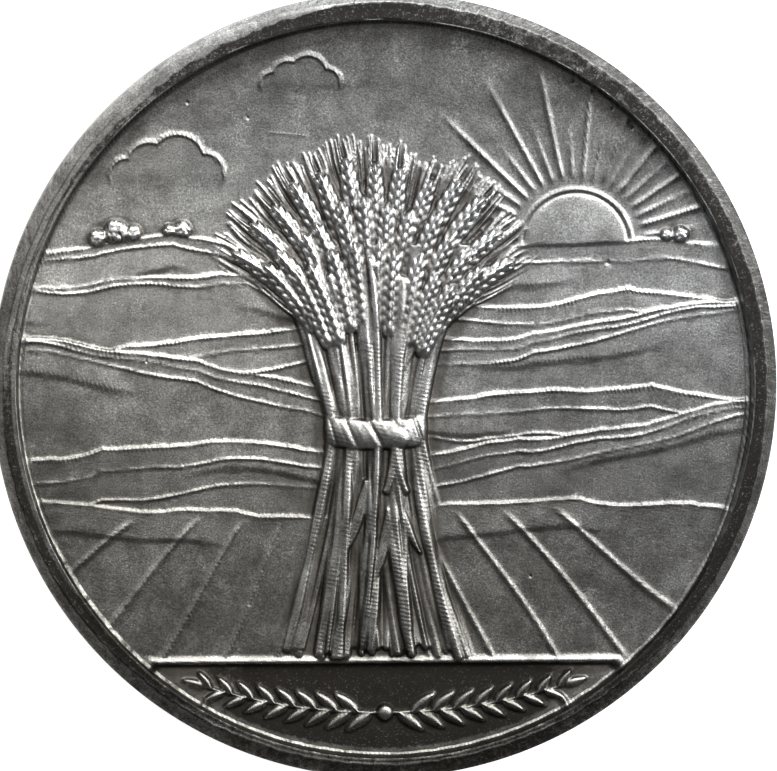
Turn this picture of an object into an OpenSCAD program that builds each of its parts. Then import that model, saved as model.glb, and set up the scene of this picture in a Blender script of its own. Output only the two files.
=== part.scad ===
// Struck silver commemorative medal, lying face up: one solid disc with a raised rim on both sides.
// Its obverse has a generic harvest relief: a tied sheaf of wheat before rolling fields and a rising sun,
// over an exergue with two laurel sprigs. Its reverse is plain.
// Millimetres. The origin is the centre of the reverse, +Y points to the top of the picture.

/* [Blank] */
// Diameter over the edge
medal_d = 50; // [48:1:56]
// Thickness over both rims
medal_t = 4; // [3.8:0.1:5]

/* [Rims] */
// Width of the obverse rim, from the edge to the field
rim_w = 1.8; // [1.5:0.05:2]
// Height of the obverse rim over the field
rim_h = 1.4; // [1.4:0.05:1.6]
// Width of the slope between rim and field
rim_slope = 0.3; // [0.25:0.05:0.5]
// Radius of the rounded shoulders of the edge
shoulder_r = 0.55; // [0.3:0.05:0.6]
// Height of the reverse rim over the plain reverse
back_rim_h = 0.5; // [0.3:0.05:0.7]

/* [Fields and sun] */
// Rise of each nearer hill over the one behind it
hill_step = 0.07; // [0.06:0.005:0.075]
// Width of the raised lines on the hills
line_w = 0.28; // [0.2:0.02:0.34]
// Height of the raised lines and rays
line_h = 0.055; // [0.04:0.005:0.055]
// Radius of the rising sun
sun_r = 3.3; // [2.8:0.1:3.6]
// Angle between two rays of the sun
ray_gap = 8.5; // [7:0.5:12]
// Length of the long rays
ray_len = 10; // [8:0.5:12]
// Height of the clouds over the sky
cloud_h = 0.09; // [0.06:0.01:0.12]

/* [Sheaf] */
// Half the width of the sheaf at its tie
waist_w = 3; // [2.6:0.1:3.4]
// Rise of the sheaf's sides over the sky
sheaf_edge_h = 0.54; // [0.5:0.01:0.58]
// Further rise of the rounded middle of the sheaf
sheaf_crown_h = 0.58; // [0.5:0.02:0.6]
// Length of the ears in the outline of the crown
ear_len = 5.4; // [4.8:0.1:5.6]
// Relief of the tie over the straw
tie_h = 0.24; // [0.18:0.02:0.28]

/* [Exergue] */
// Height of the ground line over the exergue
ground_h = 0.5; // [0.46:0.02:0.6]
// Relief of the laurel sprigs
laurel_h = 0.26; // [0.2:0.02:0.3]

/* [Hidden] */
$fn = 72;

medal_r = medal_d / 2;
field_r = medal_r - rim_w;
// Lines and bars on the field end here, inside the slope of the rim
under_rim_r = field_r + 0.22;
field_z = medal_t - rim_h;
// Raised forms start this far below the field, each kind at a depth of its own
root = 0.3;
root_step = 0.02;

// Hills from far to near, with outline y = y0 + slope x + swell cos(360 (x - crest) / wave) and furrows under it.
// A row: y0, slope, swell, wave, crest, number of furrows, first gap, growth of the gaps, fan
HILLS = [
    [8.4, 0.00, 0.9, 30, -15, 1, 0.90, 1.00, 0.020],
    [5.9, -0.05, 0.7, 26, 17, 1, 0.85, 1.00, 0.030],
    [3.3, 0.07, 0.8, 34, -9, 2, 0.80, 1.30, -0.030],
    [0.2, -0.08, 0.9, 38, 19, 2, 0.90, 1.40, 0.030],
    [-3.6, 0.07, 0.9, 42, -16, 2, 0.95, 1.40, -0.025],
    [-7.8, -0.03, 0.8, 46, 14, 0, 0.00, 1.00, 0.000]
];
first_level = 0.06;
nearest = len(HILLS) - 1;
outline_steps = 40;

// Ploughed rows of the nearest field fan out from this point behind the sheaf
plough_x = -2;
plough_y = 2;
plough_gap = 9.5;
plough_half = 6;

sun_x = 12.2;
sun_y = 8.9;

// Clouds as x, y and size, each of four round puffs over a level base. A puff: x, y, radius at size 1
CLOUDS = [[-13.9, 13.4, 1], [-5.4, 19.2, 0.7]];
PUFFS = [[-2.5, 0, 1.1], [-1.1, 0.7, 1.4], [0.7, 0.9, 1.7], [2.4, 0.2, 1.2]];
cloud_base = -0.55;

// Round trees on the far hill, as x and radius
TREES = [[-18.3, 0.65], [-17.1, 0.9], [-16, 0.6], [-13.7, 0.5], [-12.9, 0.65], [18, 0.45], [18.9, 0.6]];

// Sheaf: butt, tie and ears
sheaf_x = -0.6;
butt_y = -17.2;
waist_y = -2.8;
tie_half = 1;
ear_y = 10.4;
ear_drop = 4.6;
ear_tilt = 52;
columns = 48;
flute_h = 0.12;
// Tiers of ears, front to back: how far up the straw they start and end, their height and their number
TIERS = [
    [1.52, 2.05, 1.2, 9],
    [1.76, 2.45, 0.98, 10],
    [2.00, 3.05, 0.7, 12]
];
ear_relief = 0.16;

exergue_y = -17.6;
ground_w = 0.7;
sprig_y = -20.9;
sprig_len = 11.2;
sprig_rise = 1.7;
sprig_leaves = 8;

function arc(cx, cz, r, from, to, n) =
    [for (i = [0 : n]) let (a = from + (to - from) * i / n) [cx + r * cos(a), cz + r * sin(a)]];

// A soft step from [r0, z0] to [r1, z1]
function ease(r0, z0, r1, z1, n) =
    [for (i = [0 : n]) [r0 + (r1 - r0) * i / n, z0 + (z1 - z0) * (1 - cos(180 * i / n)) / 2]];

function blank_profile() = concat(
    [[0, back_rim_h]],
    ease(field_r, back_rim_h, field_r + rim_slope, 0, 5),
    arc(medal_r - shoulder_r, shoulder_r, shoulder_r, -90, 0, 5),
    arc(medal_r - shoulder_r, medal_t - shoulder_r, shoulder_r, 0, 90, 5),
    ease(field_r + rim_slope, medal_t, field_r, field_z, 5),
    [[0, field_z]]
);

module blank() {
    rotate_extrude()
        polygon(blank_profile());
}

// A form raised over the field to a height, with its root deeper by steps
module raised(height, steps = 0) {
    depth = root + steps * root_step;
    translate([0, 0, field_z - depth])
        linear_extrude(depth + height)
            children();
}

function level(i) = first_level + i * hill_step;
function hill_r(i) = field_r + 0.1 + i * 0.02;

function outline(i, x) =
    HILLS[i][0] + HILLS[i][1] * x + HILLS[i][2] * cos(360 * (x - HILLS[i][4]) / HILLS[i][3])
    + 0.2 * sin(21 * x + 70 * i) + 0.08 * sin(47 * x + 130 * i);

// Distance of the k-th furrow under its hill's outline, wider to one side
function furrow_drop(i, k) =
    k == 0 ? HILLS[i][6] : furrow_drop(i, k - 1) + HILLS[i][6] * pow(HILLS[i][7], k);
function furrow(i, k, x) = outline(i, x) - furrow_drop(i, k) * (1 + HILLS[i][8] * x);

// A curve is hill i's outline (k < 0) or its k-th furrow
function curve(i, k, x) = k < 0 ? outline(i, x) : furrow(i, k, x);

// Where a curve meets the circle of radius r, on the side that sign names
function reach(i, k, r, sign, x = 20, n = 8) =
    n == 0 ? sign * x
    : let (y = curve(i, k, sign * x)) reach(i, k, r, sign, sqrt(r * r - y * y), n - 1);

function along(i, k, r, shift) =
    let (x0 = reach(i, k, r, -1), x1 = reach(i, k, r, 1))
    [for (j = [0 : outline_steps])
        let (x = x0 + (x1 - x0) * j / outline_steps) [x, curve(i, k, x) + shift]];

function reversed(list) = [for (j = [len(list) - 1 : -1 : 0]) list[j]];

// The ground of hill i: from its outline down to the ground line
module hill_shape(i) {
    top = along(i, -1, hill_r(i), 0);
    left = atan2(top[0][1], top[0][0]);
    right = atan2(top[outline_steps][1], top[outline_steps][0]);
    low = asin(exergue_y / hill_r(i));
    polygon(concat(
        top,
        arc(0, 0, hill_r(i), right, low, 12),
        arc(0, 0, hill_r(i), -180 - low, left > 0 ? left - 360 : left, 12)
    ));
}

// A raised line along a curve
module line_shape(i, k) {
    half = line_w / 2;
    polygon(concat(along(i, k, under_rim_r, half), reversed(along(i, k, under_rim_r, -half))));
}

// Leaves out what would only lie inside the sheaf
module beside_sheaf() {
    ys = [for (k = [0 : 16]) butt_y + 1 + (7.5 - butt_y - 1) * k / 16];
    difference() {
        children();
        polygon(concat(
            [for (y = ys) [sheaf_x + half_width(y) - 0.9, y]],
            [for (y = reversed(ys)) [sheaf_x - half_width(y) + 0.9, y]]
        ));
    }
}

module hills() {
    for (i = [0 : nearest]) {
        raised(level(i), i) beside_sheaf() hill_shape(i);
        raised(level(i) + line_h, 6 + i) beside_sheaf() line_shape(i, -1);
        if (HILLS[i][5] > 0)
            for (k = [0 : HILLS[i][5] - 1])
                raised(level(i) + line_h, 6 + i) beside_sheaf() line_shape(i, k);
    }
}

// One straight raised line from radius r0 to r1 at an angle, around a point
module spoke(x, y, angle, r0, r1, w0, w1) {
    translate([x, y])
        rotate(angle)
            polygon([[r0, -w0 / 2], [r1, -w1 / 2], [r1, w1 / 2], [r0, w0 / 2]]);
}

// Distance from a point to the rim, at an angle
function to_rim(x, y, angle) =
    let (along_ray = x * cos(angle) + y * sin(angle))
    -along_ray + sqrt(along_ray * along_ray - x * x - y * y + under_rim_r * under_rim_r);

module ploughing() {
    for (n = [-plough_half : plough_half]) {
        angle = -90 + (n + 0.5) * plough_gap;
        drop = plough_y - outline(nearest, plough_x);
        start = (drop + 1.6) / -sin(angle);
        end = min(to_rim(plough_x, plough_y, angle), (plough_y - exergue_y) / -sin(angle));
        if (end - start > 2)
            raised(level(nearest) + line_h, 12)
                spoke(plough_x, plough_y, angle, start, end, line_w * 0.8, line_w * 1.4);
    }
}

module sun() {
    raised(first_level + line_h, 14)
        difference() {
            translate([sun_x, sun_y]) circle(sun_r);
            hill_shape(0);
        }
    for (n = [-1 : 21]) {
        angle = n * ray_gap;
        end = min(sun_r + ray_len * (n % 2 == 0 ? 1 : 0.6), to_rim(sun_x, sun_y, angle));
        raised(line_h, 13)
            spoke(sun_x, sun_y, angle, sun_r + 0.9, end, line_w * 0.9, line_w * 1.5);
    }
}

module clouds() {
    for (c = CLOUDS)
        raised(cloud_h, 17)
            translate([c[0], c[1]])
                scale(c[2])
                    difference() {
                        for (p = PUFFS) translate([p[0], p[1]]) circle(p[2]);
                        translate([-5, cloud_base - 4]) square([10, 4]);
                    }
}

module trees() {
    for (t = TREES)
        translate([t[0], outline(0, t[0]) + t[1] * 0.9, field_z - t[1] * 0.45])
            sphere(t[1]);
}

function half_width(y) =
    let (d = y - waist_y) d > 0 ? waist_w + 0.22 * d + 0.008 * d * d : waist_w - 0.15 * d + 0.006 * d * d;

function ear_root(s) = ear_y - ear_drop * s * s;

// How far up the straw the point lies: 0 at the butt, 1 at the tie, 2 where the back ears start, 3 at their tips
function straw_y(s, p) =
    p <= 1 ? butt_y + (waist_y - butt_y) * p : waist_y + (ear_root(s) - waist_y) * (min(p, 2) - 1);

function ear_tip(s) = ear_len * (0.72 + 0.28 * abs(cos(90 * TIERS[2][3] * s)));

function tie_bulge(y) = let (v = (y - waist_y) / tie_half) abs(v) < 1 ? sqrt(1 - v * v) : 0;

function straw_xy(s, p) =
    let (
        y = straw_y(s, p),
        x = sheaf_x + s * (half_width(y) + (tie_bulge(y) > 0 ? 0.3 : 0)),
        out = max(0, p - 2) * ear_tip(s)
    )
    [x + out * sin(ear_tilt * s), y + out * cos(ear_tilt * s)];

// Height of one tier of ears, or 0 where it has none
function tier_height(t, s, p) =
    p <= t[0] || p >= t[1] ? 0
    : t[2] - 0.1 * s * s
        + ear_relief * abs(cos(90 * t[3] * s)) * sqrt(sin(180 * (p - t[0]) / (t[1] - t[0])));

function core_height(s, p) =
    sheaf_edge_h + sheaf_crown_h * sqrt(max(0, 1 - s * s)) * (p > 2 ? 0.35 : 1);

function straw_height(s, p, j) =
    let (tie = tie_bulge(straw_y(s, p)))
    max(
        core_height(s, p) * (p > 2.9 ? 0.6 : 1) + (tie > 0 ? tie_h * (0.6 + 0.4 * tie) : p < 2 ? flute_h * (j % 2) : 0),
        max([for (t = TIERS) tier_height(t, s, p)])
    );

STRAW_ROWS = concat(
    [0, 0.25, 0.5, 0.7, 0.85],
    [for (v = [-1.12, -0.98, -0.6, 0]) 1 + v * tie_half / (waist_y - butt_y)],
    [for (v = [0.6, 0.98, 1.12]) 1 + v * tie_half / (ear_y - waist_y)],
    [1.25, 1.4],
    [for (p = [1.5 : 0.07 : 2.95]) p],
    [3]
);

// A solid between a grid of points and the plane under it; the outline has to be star-shaped about the centre
module cast_grid(points, rows, cols, centre) {
    rim = concat(
        [for (j = [0 : cols - 1]) j],
        [for (i = [0 : rows - 1]) i * (cols + 1) + cols],
        [for (j = [cols : -1 : 1]) rows * (cols + 1) + j],
        [for (i = [rows : -1 : 1]) i * (cols + 1)]
    );
    n = len(points);
    m = len(rim);
    floor_points = [for (k = rim) [points[k][0], points[k][1], centre[2]]];
    polyhedron(
        points = concat(points, floor_points, [centre]),
        faces = concat(
            [for (i = [0 : rows - 1], j = [0 : cols - 1])
                let (a = i * (cols + 1) + j) [a, a + cols + 1, a + 1]],
            [for (i = [0 : rows - 1], j = [0 : cols - 1])
                let (a = i * (cols + 1) + j) [a + 1, a + cols + 1, a + cols + 2]],
            [for (k = [0 : m - 1]) [rim[k], rim[(k + 1) % m], n + k]],
            [for (k = [0 : m - 1]) [n + k, rim[(k + 1) % m], n + (k + 1) % m]],
            [for (k = [0 : m - 1]) [n + k, n + (k + 1) % m, n + m]]
        )
    );
}

module sheaf() {
    points = [
        for (p = STRAW_ROWS, j = [0 : columns])
            let (s = 2 * j / columns - 1, xy = straw_xy(s, p))
            [xy[0], xy[1], field_z + straw_height(s, p, j)]
    ];
    cast_grid(points, len(STRAW_ROWS) - 1, columns, [sheaf_x, waist_y, field_z - root - 16 * root_step]);
}

module ground_line() {
    reach_x = sqrt(under_rim_r * under_rim_r - exergue_y * exergue_y);
    raised(ground_h, 15)
        translate([-reach_x, exergue_y - ground_w / 2])
            square([2 * reach_x, ground_w]);
}

// A pointed leaf along +X from the origin
module leaf_shape(length, width) {
    steps = 5;
    polygon(concat(
        [for (k = [0 : steps]) [length * k / steps, width / 2 * sin(180 * k / steps)]],
        [for (k = [steps - 1 : -1 : 1]) [length * k / steps, -width / 2 * sin(180 * k / steps)]]
    ));
}

function sprig(t) = [0.25 + sprig_len * t, sprig_y + sprig_rise * t * t];

module laurel_sprig() {
    stem_w = 0.24;
    steps = 8;
    raised(laurel_h * 0.6, 1)
        polygon(concat(
            [for (k = [0 : steps]) sprig(k / steps) + [0, stem_w / 2]],
            [for (k = [steps : -1 : 0]) sprig(k / steps) - [0, stem_w / 2]]
        ));
    for (k = [0 : sprig_leaves - 1], side = [-1, 1]) {
        t = 0.09 + (0.84 * k + 0.26 * side) / (sprig_leaves - 1);
        length = 2.1 - 0.7 * t;
        direction = atan2(2 * sprig_rise * t, sprig_len);
        raised(laurel_h)
            translate(sprig(t))
                rotate(direction + side * 36)
                    leaf_shape(length, length * 0.34);
    }
    raised(laurel_h)
        translate(sprig(0.985))
            rotate(atan2(2 * sprig_rise, sprig_len))
                leaf_shape(1.6, 0.55);
}

module laurel() {
    laurel_sprig();
    mirror([1, 0, 0]) laurel_sprig();
    translate([0, sprig_y, field_z - 0.1])
        sphere(0.5);
}

module medal() {
    color("silver")
        union() {
            sheaf();
            blank();
            hills();
            ploughing();
            sun();
            clouds();
            trees();
            ground_line();
            laurel();
        }
}

medal();
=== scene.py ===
# A struck silver commemorative medal, lying face up on a pale floor and seen from above.
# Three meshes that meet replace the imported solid: rim and back, and the sheaf and the field of the relief.
import math
from types import SimpleNamespace

import bpy
import numpy as np
from mathutils import Matrix, Vector

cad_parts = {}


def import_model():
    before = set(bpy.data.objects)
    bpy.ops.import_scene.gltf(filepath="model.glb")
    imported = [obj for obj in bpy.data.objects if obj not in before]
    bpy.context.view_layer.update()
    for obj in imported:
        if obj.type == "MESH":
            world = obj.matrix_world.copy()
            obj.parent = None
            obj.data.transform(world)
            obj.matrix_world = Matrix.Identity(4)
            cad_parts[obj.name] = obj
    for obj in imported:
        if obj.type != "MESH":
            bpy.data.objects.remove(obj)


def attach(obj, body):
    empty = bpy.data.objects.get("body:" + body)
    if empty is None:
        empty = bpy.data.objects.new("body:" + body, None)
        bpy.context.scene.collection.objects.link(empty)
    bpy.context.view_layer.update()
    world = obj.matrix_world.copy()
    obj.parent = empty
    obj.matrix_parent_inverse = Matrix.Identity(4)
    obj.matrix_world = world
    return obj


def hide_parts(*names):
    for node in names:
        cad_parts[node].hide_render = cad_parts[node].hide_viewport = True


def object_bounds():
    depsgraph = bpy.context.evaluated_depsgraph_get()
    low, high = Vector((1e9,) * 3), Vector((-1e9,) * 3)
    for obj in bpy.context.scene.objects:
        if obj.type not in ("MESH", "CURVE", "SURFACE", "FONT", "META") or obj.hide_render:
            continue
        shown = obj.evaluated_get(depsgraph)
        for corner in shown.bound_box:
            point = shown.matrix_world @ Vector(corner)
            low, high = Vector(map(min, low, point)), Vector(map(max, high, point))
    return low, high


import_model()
cad_low, cad_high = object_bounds()


def table(columns, *rows):
    """Rows whose values are read by their columns' names."""
    return [SimpleNamespace(**dict(zip(columns.split(), row))) for row in rows]


# Sizes in millimetres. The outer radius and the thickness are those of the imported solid
EDGE_R = round(500 * (cad_high[0] - cad_low[0]), 3)
TOP_Z = round(1000 * cad_high[2], 3)
FIELD_Z, BACK_Z = 2.6, 0.5
FOOT_R, RIDGE_R, BACK_FOOT_R = 23.02, 23.5, 23.2

# The relief is worked out on a square raster, centred on the medal, as heights over the field
PITCH = 0.04
HALF = 24.0
COUNT = round(2 * HALF / PITCH) + 1
AXIS = np.linspace(-HALF, HALF, COUNT)
X, Y = np.meshgrid(AXIS, AXIS)

# Hills, far to near. Outline: y0 + slope x + swell cos(2 pi (x - crest) / wave). The first furrow is gap
# lower, each next gap is growth times as wide, and fan opens the gaps towards one side
HILLS = table(
    "level y0 slope swell wave crest furrows gap growth fan",
    (0.06, 8.4, 0.0, 0.9, 30.0, -15.0, 1, 0.9, 1.0, 0.02),
    (0.13, 5.9, -0.05, 0.7, 26.0, 17.0, 1, 0.85, 1.0, 0.03),
    (0.2, 3.3, 0.07, 0.8, 34.0, -9.0, 2, 0.8, 1.3, -0.03),
    (0.27, 0.2, -0.08, 0.9, 38.0, 19.0, 2, 0.9, 1.4, 0.03),
    (0.34, -3.6, 0.07, 0.9, 42.0, -16.0, 2, 0.95, 1.4, -0.025),
    (0.41, -7.8, -0.03, 0.8, 46.0, 14.0, 0, 0.0, 1.0, 0.0),
)
# Where each hill's lines come to a point, left and right of the sheaf
PEAKS = [(-13.5, 8.0), (-10.5, 15.5), (-16.5, 9.5), (-12.0, 17.0), (-18.0, 8.5), (-9.5, 12.5)]
PEAK = 0.26
STEP_PITCH = 0.27
SUN_X, SUN_Y, SUN_R = 12.2, 8.9, 3.3
RAYS, RAY_GAP, RAY_LENGTH = 22, 8.5, 10.0
# Clouds: x, y and size. Their puffs: x, y and radius at size 1, over a level base
CLOUDS = [(-13.9, 13.4, 1.0), (-5.4, 19.2, 0.7)]
PUFFS = [(-2.5, 0.0, 1.1), (-1.1, 0.7, 1.4), (0.7, 0.9, 1.7), (2.4, 0.2, 1.2)]
CLOUD_BASE = -0.55
# Trees: x and radius
TREES = [(-18.3, 0.65), (-17.1, 0.9), (-16.0, 0.6), (-13.7, 0.5), (-12.9, 0.65), (18.0, 0.45), (18.9, 0.6)]
CLUMPS = 9
PLOUGH_X, PLOUGH_Y, PLOUGH_GAP = -2.0, 2.0, 9.5

SHEAF_X = -0.6
BUTT_Y, WAIST_Y = -17.1, -2.8
WAIST_W = 3.0
STALKS, LEAVES = 44, 5
# Tiers of ears, back to front. Their feet are at height foot, and lower by drop at the sides
TIERS = table(
    "count spread foot drop tilt bend z length",
    (13, 1.0, 8.9, 4.4, 0.6, 0.5, 0.3, 5.2),
    (12, 0.9, 6.3, 3.8, 0.52, 0.42, 0.52, 5.0),
    (9, 0.74, 3.6, 2.4, 0.4, 0.34, 0.74, 4.8),
)
EAR_ROWS, EAR_WIDTH, EAR_STEPS = 8, 0.6, 40

# The bar under the scene, and the branches of laurel under it
EXERGUE_Y = -17.6
LAUREL_X, LAUREL_Y = 0.25, -20.9
LAUREL_REACH, LAUREL_RISE = 11.2, 1.7
LEAF_PAIRS = 8

# Small dents in the field: x, y and radius
DENTS = [
    (-12.55, 18.04, 0.09), (-8.72, 17.08, 0.08), (-6.04, 14.02, 0.09), (14.25, 7.83, 0.15),
    (15.8, 16.4, 0.09), (14.5, 17.6, 0.08), (12.0, 19.3, 0.09), (-15.2, 1.6, 0.07), (9.3, -12.2, 0.08),
]
DENT_DEPTH = 0.07
SCRATCH = [(-7.9, 16.2), (-4.6, 15.9)]


def smooth(a, b, x):
    """A smooth step from 0 at a to 1 at b."""
    t = np.clip((x - a) / (b - a), 0, 1)
    return t * t * (3 - 2 * t)


def window(x0, x1, y0, y1):
    """The raster's rows and columns over a rectangle."""
    def cell(v):
        return int(np.clip(round((v + HALF) / PITCH), 0, COUNT - 1))
    return slice(cell(y0), cell(y1) + 1), slice(cell(x0), cell(x1) + 1)


def dome(z, cx, cy, a, b, angle, z0, h, point=0.0):
    """Raises an ellipsoid of half-lengths a and b that lies at angle from +Y; point narrows its far end."""
    reach = max(a, b)
    w = window(cx - reach, cx + reach, cy - reach, cy + reach)
    dx, dy = X[w] - cx, Y[w] - cy
    s, c = math.sin(angle), math.cos(angle)
    along, across = dx * s + dy * c, dx * c - dy * s
    narrow = 1 - point * np.clip(along / a, -1, 1)
    inside = 1 - (along / a) ** 2 - (across / (b * narrow)) ** 2
    on = inside > 0
    z[w][on] = np.maximum(z[w][on], (z0 + h * np.sqrt(np.maximum(inside, 0)))[on])


def strand(z, points, r, z0, h):
    """Raises a round strand of half-width r along points, its sides at z0 and its crown h over them."""
    points = np.asarray(points, float)
    count = len(points)
    r, z0, h = (np.broadcast_to(np.asarray(q, float), (count,)) for q in (r, z0, h))
    for k in range(count - 1):
        a, b = points[k], points[k + 1]
        reach = max(r[k], r[k + 1])
        low, high = np.minimum(a, b) - reach, np.maximum(a, b) + reach
        w = window(low[0], high[0], low[1], high[1])
        d = b - a
        x, y = X[w] - a[0], Y[w] - a[1]
        t = np.clip((x * d[0] + y * d[1]) / max(d @ d, 1e-9), 0, 1)
        away = np.hypot(x - t * d[0], y - t * d[1])
        inside = 1 - (away / np.maximum(r[k] + t * (r[k + 1] - r[k]), 1e-6)) ** 2
        on = inside > 0
        side, crown = z0[k] + t * (z0[k + 1] - z0[k]), h[k] + t * (h[k + 1] - h[k])
        top = side + crown * np.sqrt(np.maximum(inside, 0))
        z[w][on] = np.maximum(z[w][on], top[on])


def blur(a, sigma):
    n = int(np.ceil(2.5 * sigma / PITCH))
    weights = np.exp(-0.5 * (np.arange(-n, n + 1) * PITCH / sigma) ** 2)
    weights /= weights.sum()
    for axis in (0, 1):
        padded = np.pad(a, [(n, n) if i == axis else (0, 0) for i in (0, 1)], mode="edge")
        a = np.zeros_like(a)
        for i, weight in enumerate(weights):
            a += weight * (padded[i:i + COUNT] if axis == 0 else padded[:, i:i + COUNT])
    return a


def noise(seed, cell):
    """Smooth value noise between -1 and 1."""
    rng = np.random.default_rng(seed)
    n = int(2 * HALF / cell) + 3
    g = rng.uniform(-1, 1, (n, n))
    f = (AXIS + HALF) / cell
    i = f.astype(int)
    t = smooth(0, 1, f - i)
    rows = g[i] * (1 - t)[:, None] + g[i + 1] * t[:, None]
    return rows[:, i] * (1 - t) + rows[:, i + 1] * t


def outline(hill, n, x):
    line = hill.y0 + hill.slope * x + hill.swell * np.cos(2 * np.pi * (x - hill.crest) / hill.wave)
    return line + 0.2 * np.sin(np.radians(21 * x + 70 * n)) + 0.08 * np.sin(np.radians(47 * x + 130 * n))


def ridge(d, height, far, near=0.1):
    """A raised line's section: a long slope on its far side and a short drop on its near side."""
    return height * np.clip(np.where(d > 0, 1 - d / far, 1 + d / near), 0, 1)


def cloud(z, cx, cy, size, teeth):
    """A raised outline that fades at its base."""
    w = window(cx - 4.5 * size, cx + 4.5 * size, cy - 2 * size, cy + 3.5 * size)
    dx, dy = (X[w] - cx) / size, (Y[w] - cy) / size
    d = size * np.min([np.hypot(dx - x, dy - y) - r for x, y, r in PUFFS], axis=0)
    height = 0.04 * smooth(0.1, -0.1, d) + ridge(d, 0.1, 0.32 * (1 + 0.2 * teeth[w]))
    z[w] = np.maximum(z[w], height * smooth(CLOUD_BASE - 0.3, CLOUD_BASE + 0.9, dy))


def sun(z, teeth):
    dx, dy = X - SUN_X, Y - SUN_Y
    r, turn = np.hypot(dx, dy), np.degrees(np.arctan2(dy, dx))
    for n in range(-1, RAYS):
        away = np.radians(turn - n * RAY_GAP)
        end = SUN_R + RAY_LENGTH * (1.0 if n % 2 == 0 else 0.6)
        on = smooth(SUN_R + 0.8, SUN_R + 1.5, r) * (1 - smooth(end - 4.5, end, r)) * (np.cos(away) > 0)
        height = (0.085 if n % 2 == 0 else 0.07) * (1 + 0.12 * teeth)
        z = np.maximum(z, height * on * np.exp(-(r * np.sin(away) / (0.13 + 0.004 * r)) ** 2))
    disc = np.clip(1 - (r / SUN_R) ** 2, 0, 1)
    z = np.maximum(z, (0.05 + 0.16 * np.sqrt(disc)) * (r < SUN_R))
    return z + 0.09 * np.exp(-((r - SUN_R - 0.28) / 0.15) ** 2)


def trees(z):
    rng = np.random.default_rng(4)
    for x, r in TREES:
        y = float(outline(HILLS[0], 0, x)) + 0.75 * r
        dome(z, x, y, 0.95 * r, 0.9 * r, 0, 0.05, 0.24)
        for k in range(CLUMPS):
            a = k * 2.4 + x
            q = 0.62 * r * math.sqrt((k + 0.5) / CLUMPS)
            top = 0.16 + rng.uniform(0, 0.03)
            dome(z, x + q * math.cos(a), y + q * math.sin(a), 0.34 * r, 0.32 * r, 0, 0.2 - 0.08 * q / r, top)


def furrows(ground, hill, n, top, teeth):
    off, step = 0.0, hill.gap
    for k in range(hill.furrows):
        off += step
        step *= hill.growth
        d = Y - (top - off * (1 + hill.fan * X)) + 0.06 * np.sin(X * 0.9 + 2.3 * k)
        fade = np.clip(0.72 + 0.36 * np.sin(X * 0.31 + 2.1 * k + n), 0.25, 1.0)
        ground = ground + ridge(d, 0.08 * fade * (1 + 0.25 * teeth), 0.15 * (1 + 0.35 * teeth))
    return ground


def plough_lines(ground, d, teeth):
    """Adds lines that fan out over the nearest hill, d being the height over its outline."""
    turn = np.degrees(np.arctan2(X - PLOUGH_X, PLOUGH_Y - Y))
    dist = np.hypot(X - PLOUGH_X, Y - PLOUGH_Y)
    height = smooth(0.25, 1.3, -d) * 0.08 * (1 + 0.15 * teeth)
    for k in range(-6, 6):
        line = (k + 0.5) * PLOUGH_GAP
        across = dist * np.sin(np.radians(turn - line - 1.0 * np.sin(dist * 0.25 + k)))
        ground = ground + height * np.exp(-(across / (0.08 + 0.005 * dist)) ** 2)
    return ground


def landscape():
    z = np.zeros_like(X)
    teeth = 0.6 * np.sin(2 * np.pi * (X + 0.3 * Y) / STEP_PITCH + 2.5 * noise(9, 1.6))
    teeth = teeth + 0.9 * noise(7, 0.3) + 0.7 * noise(10, 0.17)
    z = sun(z, teeth)
    for x, y, size in CLOUDS:
        cloud(z, x, y, size, teeth)
    trees(z)
    wobble = noise(5, 6.0) * 0.16 + noise(6, 2.2) * 0.09 + noise(8, 0.9) * 0.03
    # The hills' edges come and go, and fade towards the left and the foot
    strong = np.clip(0.8 + 0.45 * noise(24, 4.5) + 0.35 * noise(27, 0.8), 0.2, 1.15)
    strong = strong * (1 - 0.45 * smooth(-10, -20, X)) * (1 - 0.25 * smooth(-2, -9, Y))
    lip = 0.06 * strong * (1 + 0.25 * teeth)
    slope_width = 0.17 * (1 + 0.35 * teeth) * (0.7 + 0.35 * strong)
    for n, hill in enumerate(HILLS):
        top = outline(hill, n, X) + wobble
        for x in PEAKS[n]:
            top = top + PEAK * np.exp(-np.abs(X - x))
        d = Y - top
        ground = hill.level + 0.03 * np.exp(np.minimum(d, 0) / 1.6) + lip * np.clip(1 + d / 0.1, 0, 1)
        ground = furrows(ground, hill, n, top, teeth)
        # A faint shaded fold between two hills
        shade = 2.1 + 0.4 * np.sin(X * 0.22 + 1.7 * n)
        strength = smooth(-0.2, 0.6, np.sin(X * 0.26 + 2.4 * n))
        ground = ground + ridge(d + shade, 0.065 * strength, 1.6, 0.28)
        if hill is HILLS[-1]:
            ground = plough_lines(ground, d, teeth)
        # The edge falls to the ground behind it over a narrow slope
        edge = hill.level + 0.02 + lip
        rise = np.clip(1 - d / slope_width, 0, 1)
        toe = 0.018 * strong * np.exp(-np.maximum(d, 0) / 0.5)
        z = np.where(d > 0, z + np.maximum(edge - z, 0) * rise + toe * (1 - rise), ground)
    return z


def body(s):
    """The height of the round sheaf at s across it."""
    return 0.2 + 0.66 * np.sqrt(np.clip(1 - s * s, 0, 1))


def bundles(s, y):
    """Broad bundles that the straw gathers in, at s across the sheaf."""
    return 0.27 * np.cos(2 * np.pi * (2.3 * s + 0.1 * np.sin(0.45 * y)) + 0.9) * (1 - 0.5 * np.abs(s))


def half_width(y):
    """Half the sheaf's width, least at its waist."""
    d = y - WAIST_Y
    return np.where(d > 0, WAIST_W + 0.22 * d + 0.008 * d * d, WAIST_W - 0.15 * d + 0.006 * d * d)


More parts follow.
